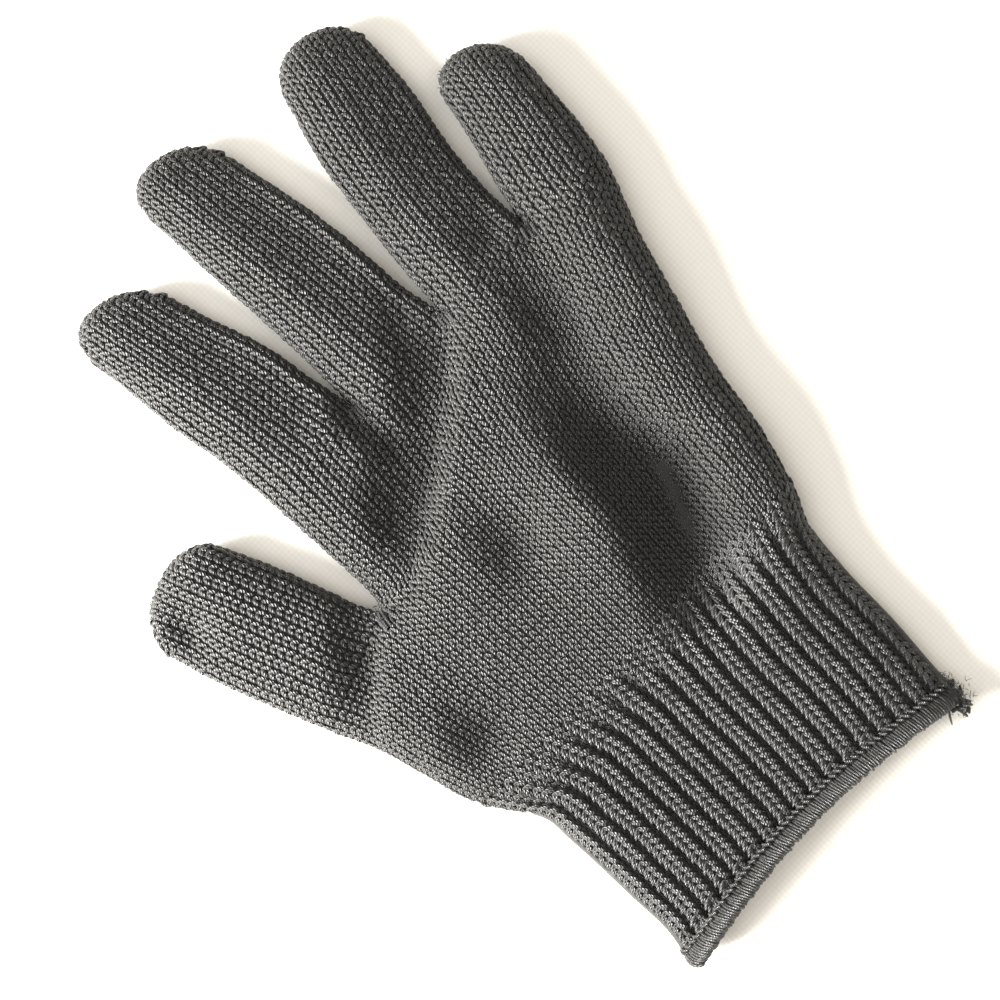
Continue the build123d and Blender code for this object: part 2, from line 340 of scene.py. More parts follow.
# Hills and hollows of the top layer, as (x, y, reach across, reach along, rise)
swells = (
    (-57, -6, 10, 12, 3.6),  # ball of the thumb
    (-45, -17, 8, 8, -2.2),
    (-14, 16, 15, 15, 3.2),  # middle of the palm
    (-3, 13, 11, 11, -4.4),
    (12, 4, 14, 22, 4.8),  # ridge beside the hollow
    (56, -10, 11, 22, 3.0),  # heel on the little finger's side
    (68, 36, 12, 26, 3.6),
    (-33, 44, 9, 24, 2.4),  # under the index finger
    (33, 50, 7, 12, 1.6),  # under the ring finger
    (-77, 56, 6, 8, -5.5),  # dented thumb tip
)
# Creases of the top layer: a line of (x, y), the widths of its falls on its left and on its right, and
# the depths along it
creases = (
    (((53, 62), (45, 42), (38, 26), (34, 12), (35, -2), (28, -18), (23, -29)),
     13, 23, (2.5, 4.5, 6, 8.5, 10, 10, 8)),
    (((25, 66), (20, 60), (13, 53), (3, 46), (-8, 39), (-20, 31), (-29, 25)),
     6, 20, (4, 6.5, 7, 7, 7, 6, 4)),
    (((-7.5, 66), (-8, 56), (-8, 46)), 5, 8, (3.5, 2.5, 0)),
    (((-41, 27), (-49, 20), (-57, 12), (-66, 6)), 5, 13, (4, 5, 4, 1)),
    (((-14, 77), (-21.5, 119)), 19, 4, (3, 3.4, 2.6)),
    (((18.5, 76), (14, 134)), 19, 4, (3, 3.4, 3.4, 2.6)),
    (((51, 74), (60, 127)), 19, 4, (3, 3.4, 2.4)),
)


def round_off(distance, reach):
    """Share of the full height at a distance from the edge of a soft tube."""
    t = np.clip(distance / reach, 0, 1)
    return np.sqrt(np.clip(1 - (1 - t) ** 2, 0, 1))


def top_level(points):
    """Height of the palm side before its edges round off."""
    x, y = points.T
    level = palm_height + (finger_height - palm_height) * ease(y, fork_row, fork_row + 15)
    level = level - (palm_height - cuff_height) * (1 - ease(y, -62, -34))
    for cx, cy, reach_x, reach_y, rise in swells:
        level = level + rise * np.exp(-(((x - cx) / reach_x) ** 2) - ((y - cy) / reach_y) ** 2)
    for line, reach_left, reach_right, depths in creases:
        gap, side, part = line_distance(points, np.array(line, float), False)
        reach = reach_right + (reach_left - reach_right) * ease(side, -1, 1)
        fall = (1 + np.cos(np.pi * np.clip(gap / reach, 0, 1))) / 2
        level = level - np.interp(part, np.linspace(0, 1, len(depths)), depths) * fall
    return level


def ground_heights(points):
    """Heights of the palm side and of the back at plan points."""
    distance, _, _ = line_distance(points, outline, True)
    y = points[:, 1]
    palm = ease(y, -36, -12) * (1 - ease(y, fork_row - 14, fork_row + 4))
    cuff = 1 - ease(y, -60, -30)
    reach = 10.5 + 6 * palm + 13 * cuff
    top = side_height + (top_level(points) - side_height) * round_off(distance, reach)
    back = side_height - (side_height - back_height) * round_off(distance, 7.5)
    return top, back


def even_rows(lefts, rights, wales):
    """Wale lines across rows, evenly spaced over the curved top of each, as plan points."""
    t = (1 - np.cos(np.linspace(0, np.pi, samples_across))) / 2
    points = lefts[:, None] + (rights - lefts)[:, None] * t[:, None]
    top, _ = ground_heights(points.reshape(-1, 2))
    solid = np.concatenate((points, top.reshape(len(lefts), -1, 1)), 2)
    lines = np.linspace(0, 1, wales + 1)
    out = []
    for row in solid:
        run = np.concatenate(([0], np.cumsum(np.linalg.norm(np.diff(row, axis=0), axis=1))))
        out.append(np.stack([np.interp(lines * run[-1], run, row[:, k]) for k in (0, 1)], 1))
    return np.array(out)


def tip_lines(plan, last_row, rows):
    """Wale lines that run on from a finger's last full row over its rounded tip, clamped at their ends."""
    across = np.array([plan.local(p) for p in last_row])
    steps = (1 - np.cos(np.linspace(0, np.pi, samples_across))) / 2
    out = np.zeros((rows, len(last_row), 2))
    for j, (start, offset) in enumerate(across):
        inward = plan.finger.tip[1] + (offset - plan.finger.tip[1]) * 0.985
        end = max(float(plan.end(np.array(inward))), start + 0.05)
        along = start + (end - start) * steps
        wale_line = plan.plan(along, offset + (inward - offset) * steps)
        top, _ = ground_heights(wale_line)
        run = np.concatenate(([0], np.cumsum(np.linalg.norm(
            np.diff(np.concatenate((wale_line, top[:, None]), 1), axis=0), axis=1))))
        count = max(int(run[-1] / course + 0.4), 1)
        at = np.minimum(np.arange(1, rows + 1) / count, 1) * run[-1]
        for k in (0, 1):
            out[:, j, k] = np.interp(at, run, wale_line[:, k])
    return out


Strip = namedtuple("Strip", "rows along shared")
palm_courses = round((fork_row - rib_top) / course)
palm_rows = np.linspace(rib_top, fork_row, palm_courses + 1)
below_fold = palm_rows <= fold_row + 0.01
palm_rows[below_fold] = np.linspace(rib_top, fold_row, below_fold.sum())
palm_rows[~below_fold] = np.linspace(fold_row, fork_row, (~below_fold).sum() + 1)[1:]
fold_index = int(below_fold.sum()) - 1

strips = {}
for number, finger in enumerate(fingers):
    plan = plans[finger.name]
    if finger.name == "thumb":
        y = palm_rows[:fold_index + 1]
        drop = (fold_row - thumb_start_row) * ease(y, rib_top - 12, fold_row + 14)
        drop = (fold_row - thumb_start_row) * (drop - drop[0]) / (drop[-1] - drop[0])
        lefts = np.stack((left_x(y - drop), y - drop), 1)
        rights = np.stack((seam_x[0](y), y), 1)
        first = 0.0
    else:
        y = palm_rows
        left_line = seam_x[number]
        lefts = np.stack((left_line(y), y), 1)
        if number == 0:
            upper = y > fold_row
            lefts[upper, 0] = index_side_x(y[upper])
        rights = np.stack((seam_x[number + 1](y) if number < 3 else right_x(y), y), 1)
        first = (fork_row - plan.root[1]) / plan.along[1]
    palm_part = even_rows(lefts, rights, finger.wales)
    shoulder = min(plan.shoulders[0][0], plan.shoulders[1][0])
    count = max(int((shoulder - first) / course), 1)
    along = first + (shoulder - first) * np.arange(1, count + 1) / count
    lean = plan.across[1] / plan.across[0] * (1 - ease(along, first, 14))
    if finger.name == "thumb":
        lean = 0 * along
    ends = []
    for edge in (plan.left, plan.right):
        reach = edge(along)
        tilted = along - lean * reach
        reach = edge(np.minimum(tilted, shoulder + 4))
        ends.append(plan.root + tilted[:, None] * plan.along + reach[:, None] * plan.across)
    finger_part = even_rows(*ends, finger.wales)
    tip_rows = int((plan.finger.tip[0] - shoulder + 9) / course) + 1
    tip_part = tip_lines(plan, finger_part[-1], tip_rows)
    strips[finger.name] = Strip(
        np.concatenate((palm_part, finger_part, tip_part)),
        np.concatenate((np.full(len(palm_part), -99.0), along, np.full(tip_rows, 999.0))),
        len(palm_part),
    )


def strip_solid(name):
    """Rows of a strip as points of its palm side and of its back."""
    strip = strips[name]
    flat = strip.rows.reshape(-1, 2)
    top, back = (z.reshape(strip.rows.shape[:2]) for z in ground_heights(flat))
    y = strip.rows[:, 0, 1]
    finger_rows = np.arange(len(strip.rows)) >= strip.shared
    left_open = finger_rows | (name == "thumb") | ((name == "index") & (y > fold_row - 0.01))
    right_open = finger_rows | (name == "little")
    if name == "thumb":
        right_open = right_open | (np.arange(len(strip.rows)) >= strip.shared - 1)
    for z in (top, back):
        z[left_open, 0] = side_height
        z[right_open, -1] = side_height
        z[-1, :] = side_height
    # A wale line that has reached the tip's edge stays there
    for j in range(strip.rows.shape[1]):
        same = np.all(np.abs(strip.rows[:, j] - strip.rows[-1, j]) < 1e-9, axis=1)
        top[same, j] = side_height
        back[same, j] = side_height
    return tuple(np.concatenate((strip.rows, z[..., None]), 2) for z in (top, back))


solids = {name: strip_solid(name) for name in strips}


def stitch_faces(grid, facing):
    """Corner points of each stitch of a grid of rows, seen from outside: facing is 1 on top and -1 below."""
    low_left, low_right = grid[:-1, :-1], grid[:-1, 1:]
    high_left, high_right = grid[1:, :-1], grid[1:, 1:]
    corners = np.stack((low_left, low_right, high_right, high_left), 2)
    if facing < 0:
        corners = corners[:, :, [1, 0, 3, 2]]
    return corners.reshape(-1, 4, 3)


def merge_corners(corners):
    """Shared points, and faces that use each of them once, from corner points of four-sided cells."""
    flat = corners.reshape(-1, 3)
    keys, first, which = np.unique(np.round(flat, 4), axis=0, return_index=True, return_inverse=True)
    return flat[first], which.reshape(-1, 4)


def wale_frames(corners):
    """Wale direction, outward direction and size of each cell."""
    up = (corners[:, 2] + corners[:, 3] - corners[:, 0] - corners[:, 1]) / 2
    over = (corners[:, 1] + corners[:, 2] - corners[:, 0] - corners[:, 3]) / 2
    out = np.cross(over, up)
    length = np.linalg.norm(up, axis=1)
    width = np.linalg.norm(over, axis=1)
    out /= np.maximum(np.linalg.norm(out, axis=1), 1e-9)[:, None]
    return up / np.maximum(length, 1e-9)[:, None], out, np.stack((width, length), 1)


def write_seats(mesh, seat, along, outward, size):
    """Writes on a mesh's first faces which are seats, and the directions and size of the stitch on each."""
    for key, value in (("seat", seat), ("wale", along), ("outward", outward), ("size", size)):
        full = np.zeros((len(mesh.polygons), *value.shape[1:]), value.dtype)
        full[:len(value)] = value
        kind, field = ("BOOLEAN", "value") if key == "seat" else ("FLOAT_VECTOR", "vector")
        mesh.attributes.new(key, kind, "FACE").data.foreach_set(field, full.ravel())


def shell_mesh(name, corners, seats, sizes, thickness=wall):
    """Closed wall under stitches: cells outside, the same cells inside, and rims round its open edges.
    Cells that are seats carry the direction and the size of the stitch on them."""
    points, cells = merge_corners(corners)
    up, out, _ = wale_frames(corners)
    normals = np.zeros_like(points)
    for k in range(4):
        np.add.at(normals, cells[:, k], out)
    normals /= np.maximum(np.linalg.norm(normals, axis=1), 1e-9)[:, None]
    inner = points - normals * thickness
    faces, kept = [], []
    for i, cell in enumerate(cells):
        ring = [int(v) for k, v in enumerate(cell) if v != cell[k - 1]]
        if len(set(ring)) == len(ring) and len(ring) > 2:
            faces.append(ring)
            kept.append(i)
    edges = {}
    for ring in faces:
        for a, b in zip(ring, ring[1:] + ring[:1]):
            edges[(a, b)] = edges.get((a, b), 0) + 1
    shift = len(points)
    inside = [[v + shift for v in reversed(ring)] for ring in faces]
    rims = [(b, a, a + shift, b + shift) for (a, b) in edges if (b, a) not in edges]
    mesh = bpy.data.meshes.new(name)
    both = np.concatenate((points, inner)) * mm
    mesh.from_pydata(both.tolist(), [], faces + inside + rims, shade_flat=False)
    write_seats(mesh, seats[kept], up[kept], out[kept], sizes[kept])
    return mesh


def yarn_tube(path, widths, heights, sides, closed=False, up=(0, 0, 1)):
    """Tube of yarn along a path: points, faces and a map of length along and share around."""
    path = np.array(path, float)
    count = len(path)
    before = np.roll(path, 1, axis=0) if closed else np.concatenate((path[:1], path[:-1]))
    after = np.roll(path, -1, axis=0) if closed else np.concatenate((path[1:], path[-1:]))
    along = after - before
    along /= np.linalg.norm(along, axis=1)[:, None]
    side = np.cross(along, np.array(up, float))
    side /= np.maximum(np.linalg.norm(side, axis=1), 1e-9)[:, None]
    lift = np.cross(side, along)
    turn = 2 * np.pi * (np.arange(sides) + 0.5) / sides
    widths = np.broadcast_to(widths, count)
    heights = np.broadcast_to(heights, count)
    rings = (
        path[:, None]
        + side[:, None] * (np.cos(turn)[:, None] * widths[:, None, None])
        + lift[:, None] * (np.sin(turn)[:, None] * heights[:, None, None])
    )
    run = np.concatenate(([0], np.cumsum(np.linalg.norm(np.diff(path, axis=0), axis=1))))
    faces, maps = [], []
    for i in range(count if closed else count - 1):
        n = (i + 1) % count
        ends = (run[i], run[i] + np.linalg.norm(path[n] - path[i]))
        for k in range(sides):
            m = (k + 1) % sides
            faces.append((i * sides + k, n * sides + k, n * sides + m, i * sides + m))
            maps += [(ends[e], (k + turned) / sides) for e, turned in ((0, 0), (1, 0), (1, 1), (0, 1))]
    if not closed:
        for start, order in ((0, 1), ((count - 1) * sides, -1)):
            faces.append(tuple(start + k for k in range(sides))[::order])
            maps += [(run[0 if start == 0 else -1], k / sides) for k in range(sides)]
    return rings.reshape(-1, 3), faces, maps


def yarn_shape(name, *tubes):
    """Object to be repeated, made of yarn tubes, in millimetres of the finished glove."""
    points, faces, maps = [], [], []
    for tube_points, tube_faces, tube_maps in tubes:
        shift = sum(len(p) for p in points)
        points.append(tube_points)
        faces += [tuple(v + shift for v in face) for face in tube_faces]
        maps += tube_maps
    mesh = bpy.data.meshes.new(name)
    mesh.from_pydata((np.concatenate(points) * mm).tolist(), [], faces, shade_flat=False)
    layer = mesh.uv_layers.new(name="UVMap")
    layer.data.foreach_set("uv", np.array(maps, np.float32).ravel())
    return bpy.data.objects.new(name, mesh)


# One stitch, as shares of its width and length with heights in millimetres: its two legs rise from under
# the stitch below and meet in an arch at the finger's side
half_stitch = (
    (0.0, 0.56, 0.36), (0.11, 0.44, 0.50), (0.205, 0.16, 0.60), (0.285, -0.16, 0.54), (0.34, -0.56, 0.10),
)
leg_widths = (0.42, 0.54, 0.62, 0.60, 0.38)
leg_heights = (0.34, 0.40, 0.45, 0.44, 0.30)
full_stitch = [(-x, y, z) for x, y, z in half_stitch[:0:-1]] + list(half_stitch)
stitch = yarn_shape("stitch", yarn_tube(
    [(x * wale, y * course, z) for x, y, z in full_stitch],
    leg_widths[:0:-1] + leg_widths,
    leg_heights[:0:-1] + leg_heights,
    5,
))


def repeat_tree(name):
    """Geometry nodes that set a shape on every seat of a wall, turned to its wale and sized to it, a little
    unevenly, and give the wall and the shapes their materials."""
    tree = bpy.data.node_groups.new(name, "GeometryNodeTree")
    for label, kind in (
        ("Wall", "Geometry"), ("Shape", "Object"), ("Size spread", "Float"), ("Lean in degrees", "Float"),
        ("Seed", "Int"), ("Yarn", "Material"), ("Ground", "Material"),
    ):
        tree.interface.new_socket(label, in_out="INPUT", socket_type=f"NodeSocket{kind}")
    tree.interface.new_socket("Knit", in_out="OUTPUT", socket_type="NodeSocketGeometry")
    given = add_node(tree, "NodeGroupInput").outputs

    def named(kind, label):
        node = add_node(tree, "GeometryNodeInputNamedAttribute", {"Name": label}, data_type=kind)
        return node.outputs["Attribute"]

    def chance(seed, kind="FLOAT_VECTOR", **limits):
        node = add_node(tree, "FunctionNodeRandomValue", {**limits, "Seed": seed}, data_type=kind)
        return node.outputs["Value"]

    def maths(operation, first, second=0.5):
        return add_node(tree, "ShaderNodeMath", {0: first, 1: second}, operation=operation).outputs[0]

    seats = add_node(tree, "GeometryNodeMeshToPoints", {
        "Mesh": given["Wall"], "Selection": named("BOOLEAN", "seat")}, mode="FACES")
    facing = add_node(tree, "FunctionNodeAxesToRotation", {
        "Primary Axis": named("FLOAT_VECTOR", "outward"),
        "Secondary Axis": named("FLOAT_VECTOR", "wale"),
    }, primary_axis="Z", secondary_axis="Y")

    lean = add_node(tree, "ShaderNodeVectorMath", {
        0: chance(given["Seed"], Min=(-1, -1, -1), Max=(1, 1, 1)),
        "Scale": maths("RADIANS", given["Lean in degrees"]),
    }, operation="SCALE")
    leaned = add_node(tree, "FunctionNodeEulerToRotation", {"Euler": lean.outputs[0]})
    rotated = add_node(tree, "FunctionNodeRotateRotation", {
        "Rotation": facing.outputs["Rotation"], "Rotate By": leaned.outputs["Rotation"],
    }, rotation_space="LOCAL")

    smallest, largest = (maths(operation, 1, given["Size spread"]) for operation in ("SUBTRACT", "ADD"))
    sized = add_node(tree, "ShaderNodeVectorMath", {
        0: named("FLOAT_VECTOR", "size"),
        1: chance(maths("ADD", given["Seed"], 11), Min=smallest, Max=largest),
    }, operation="MULTIPLY")

    shape = add_node(tree, "GeometryNodeObjectInfo", {"Object": given["Shape"]})
    placed = add_node(tree, "GeometryNodeInstanceOnPoints", {
        "Points": seats.outputs["Points"], "Instance": shape.outputs["Geometry"],
        "Rotation": rotated.outputs["Rotation"], "Scale": sized.outputs[0],
    })
    toned = add_node(tree, "GeometryNodeStoreNamedAttribute", {
        "Name": "tone", "Geometry": placed.outputs["Instances"], "Value": chance(given["Seed"], "FLOAT"),
    }, data_type="FLOAT", domain="INSTANCE")
    real = add_node(tree, "GeometryNodeRealizeInstances", {"Geometry": toned.outputs["Geometry"]})

    both = add_node(tree, "GeometryNodeJoinGeometry")
    for source, label in ((real.outputs["Geometry"], "Yarn"), (given["Wall"], "Ground")):
        finish = add_node(tree, "GeometryNodeSetMaterial", {"Geometry": source, "Material": given[label]})
        feed(tree, both, {"Geometry": finish.outputs["Geometry"]})
    add_node(tree, "NodeGroupOutput", {"Knit": both.outputs["Geometry"]})
    return tree


def run_tree(tree, mesh, name, **values):
    """Runs geometry nodes once on a mesh, and returns the result as a plain piece of the glove."""
    carrier = bpy.data.objects.new(name, mesh)
    bpy.context.scene.collection.objects.link(carrier)
    modifier = carrier.modifiers.new("shape", "NODES")
    modifier.node_group = tree
    sockets = {s.name: s.identifier for s in tree.interface.items_tree if s.in_out == "INPUT"}
    for label, value in values.items():
        modifier[sockets[label.replace("_", " ")]] = value
    depsgraph = bpy.context.evaluated_depsgraph_get()
    made = bpy.data.meshes.new_from_object(carrier.evaluated_get(depsgraph), depsgraph=depsgraph)
    carrier.modifiers.remove(modifier)
    carrier.data = made
    made.name = name
    for label in ("seat", "wale", "outward", "size"):
        if label in made.attributes:
            made.attributes.remove(made.attributes[label])
    bpy.data.meshes.remove(mesh)
    return carrier


def ply_group():
    """Node group for twisted yarn: a height for its plies and fibres, and a mask of painted light: a painted
    highlight on the ply crests and painted shade in the grooves between them, broken up by fibre noise.
    """
    group = bpy.data.node_groups.new("twisted yarn", "ShaderNodeTree")
    for label, value in (("Twists per mm", 0.55), ("Plies", 3.0), ("Fibre depth", 0.35)):
        socket = group.interface.new_socket(label, in_out="INPUT", socket_type="NodeSocketFloat")
        socket.default_value = value
    for label in ("Height", "Worn"):
        group.interface.new_socket(label, in_out="OUTPUT", socket_type="NodeSocketFloat")
    given = add_node(group, "NodeGroupInput").outputs

    def maths(operation, first, second=0.5):
        return add_node(group, "ShaderNodeMath", {0: first, 1: second}, operation=operation).outputs[0]

    yarn = add_node(group, "ShaderNodeUVMap")
    split = add_node(group, "ShaderNodeSeparateXYZ", {0: yarn.outputs["UV"]})
    around = maths("ADD", maths("MULTIPLY", split.outputs["X"], given["Twists per mm"]), split.outputs["Y"])
    angle = maths("MULTIPLY", maths("MULTIPLY", around, given["Plies"]), 2 * math.pi)
    ply = maths("MULTIPLY", maths("ADD", maths("COSINE", angle), 1.0), 0.5)

    place = add_node(group, "ShaderNodeTexCoord").outputs["Object"]
    fibres = add_node(group, "ShaderNodeTexNoise", {"Vector": place, "Scale": 2600, "Detail": 3})
    fibres = fibres.outputs["Fac"]
    # The ply mask is painted light: a painted highlight on the ply crests and painted shade in the grooves,
    # times fibre noise
    add_node(group, "NodeGroupOutput", {
        "Height": maths("ADD", ply, maths("MULTIPLY", fibres, given["Fibre depth"])),
        "Worn": maths("MULTIPLY", ply, fibres),
    })
    return group


twisted_yarn = ply_group()


def yarn_material(name, dark, pale, roughness, sheen, twists=0.5, plies=3.0):
    """Material of a yarn: twisted plies with a painted highlight on their crests and painted shade between
    them, uneven in tone from stitch to stitch.
    """
    material, tree, shader = new_material(name)
    twisted = add_node(tree, "ShaderNodeGroup", node_tree=twisted_yarn)
    feed(tree, twisted, {"Twists per mm": twists, "Plies": plies})
    tone = add_node(tree, "ShaderNodeAttribute", attribute_name="tone").outputs["Fac"]
    place = add_node(tree, "ShaderNodeTexCoord").outputs["Object"]
    drift = add_node(tree, "ShaderNodeTexNoise", {"Vector": place, "Scale": 55, "Detail": 2}).outputs["Fac"]
    level = add_node(tree, "ShaderNodeMath", {0: tone, 1: 0.35, 2: drift}, operation="MULTIPLY_ADD")
    # Colour is paler where the ply mask is high: a painted highlight on the ply crests and painted shade in
    # their grooves
    share = add_node(tree, "ShaderNodeMath", {
        0: level.outputs[0], 1: twisted.outputs["Worn"]}, operation="MULTIPLY")
    bump = add_node(tree, "ShaderNodeBump", {
        "Strength": 0.7, "Distance": 0.0003, "Height": twisted.outputs["Height"]})
    feed(tree, shader, {
        "Base Color": mix_colours(tree, share.outputs[0], (*dark, 1), (*pale, 1)),
        "Normal": bump.outputs["Normal"],
        "Roughness": roughness,
        "Sheen Weight": sheen,
        "Sheen Roughness": 0.45,
        "Sheen Tint": (0.8, 0.85, 0.85, 1),
        "Specular IOR Level": 0.5,
    })
    return material


plain_yarn = yarn_material("charcoal yarn", (0.019, 0.0178, 0.0168), (0.050, 0.050, 0.048), 0.46, 0.06)
ground_yarn = yarn_material("yarn in the shade", (0.016, 0.0145, 0.0135), (0.034, 0.032, 0.030), 0.8, 0.1)
knit_tree = repeat_tree("stitches")
smallest_stitch = 0.4  # cells with a smaller share of a usual stitch's area carry none


def knit_piece(name, parts, seed):
    """Piece of plain knit from parts of strips, each a strip's name with its first and last row."""
    corners = []
    for strip, first, last in parts:
        for grid, facing in zip(solids[strip], (1, -1)):
            corners.append(stitch_faces(grid[first:last + 1], facing))
    corners = np.concatenate(corners)
    _, _, sizes = wale_frames(corners)
    seats = sizes[:, 0] * sizes[:, 1] > smallest_stitch * wale * course
    width, length = (sizes / (wale, course)).T
    scales = np.stack((width, length, 0.72 * np.clip(width, 0.8, 1.1)), 1)
    mesh = shell_mesh(name, corners, seats, scales)
    piece = run_tree(knit_tree, mesh, name, Shape=stitch, Size_spread=0.1, Lean_in_degrees=8.0, Seed=seed,
                     Yarn=plain_yarn, Ground=ground_yarn)
    return piece


def row_after(strip, distance):
    """First row of a strip's finger at or past a distance from its root."""
    return int(np.argmax(strips[strip].along >= distance))


# The palm up to the start of its fold, and the part from there up to the knuckles
palm_cut = int(np.argmin(np.abs(palm_rows - 6)))
knuckle_cut = int(np.argmin(np.abs(palm_rows - 48)))
palm = knit_piece("palm_knit", [(name, 0, palm_cut) for name in strips], 1)
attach(palm, "palm")
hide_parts("palm_lower")
fold_parts = [(name, palm_cut, knuckle_cut) for name in ("index", "middle", "ring", "little")]
palm_fold = knit_piece("palm_fold_knit", [*fold_parts, ("thumb", palm_cut, fold_index)], 2)
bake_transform(palm_fold)
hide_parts("palm_upper")

# Each finger in three parts, cut at its root, middle and tip joints; the thumb has no middle one. The line
# worked out over each joint runs along the palm at a finger's root, and along its finger at every other
# joint.
for number, finger in enumerate(fingers):
    name = finger.name
    plan = plans[name]
    folds = [f for f in (f"{name}_{part}_fold" for part in ("root", "mid", "tip")) if f in joint_place]
    places = [float(plan.local(joint_place[f][:2])[0]) for f in folds]
    cuts = [fold_index if name == "thumb" else knuckle_cut]
    cuts += [row_after(name, (a + b) / 2) for a, b in zip(places, places[1:])]
    cuts.append(len(strips[name].rows) - 1)
    bodies = ["palm" if name == "thumb" else "knuckles"]
    bodies += [next(j["child"] for j in frame["joints"] if j["name"] == f) for f in folds]
    for k, fold in enumerate(folds):
        part = bodies[k + 1].split("_")[1]
        piece = knit_piece(f"{name}_{part}_knit", [(name, cuts[k], cuts[k + 1])], 10 + 3 * number + k)
        at_root = k == 0
        direction = np.array((0.0, 1.0, 0.0)) if at_root and name != "thumb" else np.append(plan.along, 0)
        reach = 7.0 if at_root else 5.5 if name == "little" else 8.0
        shift = 0.0 if not at_root else 4.0 if name == "thumb" else 2.0
        middle = joint_place[fold] + direction * shift
        start, end = middle * mm - direction * reach * mm, middle * mm + direction * reach * mm
        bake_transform(piece)
        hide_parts(f"{name}_{part}_sleeve")


# ------------------------------------------------------------
# The ribs of the wrist and the cuff
# Ribbing of the same yarn runs on from the palm to the hem. Each rib is one broad column of stitches, and
# narrow columns turned inwards lie sunk between the ribs. The ribs start at staggered rows and flatten
# out at the hem.

ribs = 17
rib_course = 2.15
rib_rise = 0.35
groove_depth = 1.2
hem_width = 5.0
mouth = np.polyfit((-48.6, -1.6, 45.4), (-94.2, -89.4, -96.8), 2)  # the hem's outer edge
mouth_middle = -91.0
cuff_start = -62.0
rib_rows = round((rib_top - mouth_middle) / rib_course)
rib_share = np.linspace(0, 1, rib_rows + 1)


def rib_row_y(x, share):
    """Row of the ribs: straight at the palm, and parallel to the hem at the mouth."""
    edge = np.polyval(mouth, x) + hem_width / 2
    return rib_top + (mouth_middle - rib_top) * share + (edge - mouth_middle) * share**2


rng = np.random.default_rng(7)
rib_delay = rng.uniform(0, 3.2, ribs)
rib_grids = ([], [])
for number, share in enumerate(rib_share):
    y = rib_top + (mouth_middle - rib_top) * share
    begun = ease(number, rib_delay, rib_delay + 3.5)
    flat = 1 - 0.55 * ease(y, mouth_middle + 16, mouth_middle)
    centre = (np.arange(ribs) + 0.5) / ribs
    crest = (0.50 + 0.16 * begun + 0.07 * (1 - flat)) / ribs / 2
    side = (0.02 + 0.05 * begun) / ribs
    lines = (centre - crest - side, centre - crest, centre + crest, centre + crest + side)
    lines = np.concatenate(([0], np.stack(lines, 1).ravel(), [1]))
    t = (1 - np.cos(np.linspace(0, np.pi, samples_across))) / 2
    left, right = float(left_x(y)), float(right_x(y))
    row = np.stack((left + (right - left) * t, np.full(samples_across, y)), 1)
    top, _ = ground_heights(row)
    run = np.concatenate(([0], np.cumsum(np.hypot(np.diff(row[:, 0]), np.diff(top)))))
    x = np.interp(lines * run[-1], run, row[:, 0])
    row = np.stack((x, rib_row_y(x, share)), 1)
    top, back = ground_heights(row)
    groove, rise = -groove_depth * begun, rib_rise * begun
    relief = np.concatenate(([0], np.stack((groove, rise, rise, groove), 1).ravel() * flat, [0]))
    valley = 1.3 * ease(y, mouth_middle + 7, mouth_middle + 2.5)
    top += relief - valley
    back += np.clip(-relief, 0, None) + 0.3 + 0.3 * valley
    top[[0, -1]] = back[[0, -1]] = side_height
    for grid, z in zip(rib_grids, (top, back)):
        grid.append(np.concatenate((row, z[:, None]), 1))
rib_grids = [np.array(grid) for grid in rib_grids]

rib_yarn = yarn_material("charcoal rib yarn", (0.018, 0.0175, 0.017), (0.112, 0.113, 0.11), 0.44, 0.1)

# A rib's broad stitch shows the two ends of yarn that are knitted together, lying side by side
ends = []
end_radius = 0.33
for shift, raise_by in ((-0.075, -0.06), (0.08, 0.0)):
    path = []
    for x, y, z in full_stitch:
        outward = np.array((x * 1.5, 0.35)) / np.hypot(x * 1.5, 0.35)
        aside = outward * (shift + 0.05 * math.sin(9 * y + 20 * shift))
        path.append(((x + aside[0]) * wale, (y + aside[1] * 1.4) * course, z + raise_by))
    ends.append(yarn_tube(path, end_radius, end_radius, 4))
rib_stitch = yarn_shape("rib stitch", *ends)


def rib_piece(name, first, last, seed):
    """Piece of ribbing from its first to its last row."""
    rows = slice(last, first - 1 if first else None, -1)
    corners = np.concatenate([stitch_faces(grid[rows], facing) for grid, facing in zip(rib_grids, (1, -1))])
    columns = np.tile(np.arange(rib_grids[0].shape[1] - 1), 2 * (last - first))
    crests, grooves = columns % 4 == 2, columns % 4 == 0
    edges = (columns == 0) | (columns == columns.max())
    _, _, sizes = wale_frames(corners)
    width = (sizes[:, 0] + np.where(crests | edges, 0.9, 0.3)) / wale
    scales = np.stack((width, sizes[:, 1] / course, np.where(crests, 1.1, np.where(edges, 1.2, 0.8))), 1)
    mesh = shell_mesh(name, corners, crests | grooves, scales)
    piece = run_tree(knit_tree, mesh, name, Shape=rib_stitch, Size_spread=0.1, Lean_in_degrees=7.0,
                     Seed=seed, Yarn=rib_yarn, Ground=ground_yarn)
    return piece


cuff_row = int(np.argmin(np.abs(rib_top + (mouth_middle - rib_top) * rib_share - cuff_start)))
wrist = rib_piece("wrist_ribs", 0, cuff_row, 40)
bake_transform(wrist)
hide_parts("rib_band")
cuff = rib_piece("cuff_ribs", cuff_row, rib_rows, 41)
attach(cuff, "cuff")
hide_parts("cuff_rib")


# ------------------------------------------------------------
# Elastic threads in the cuff
# Thin covered rubber threads laid into the ribbing behind its stitches, one ring to every other row of
# the cuff.

elastic_depth = 1.5
elastic_thickness = 0.7


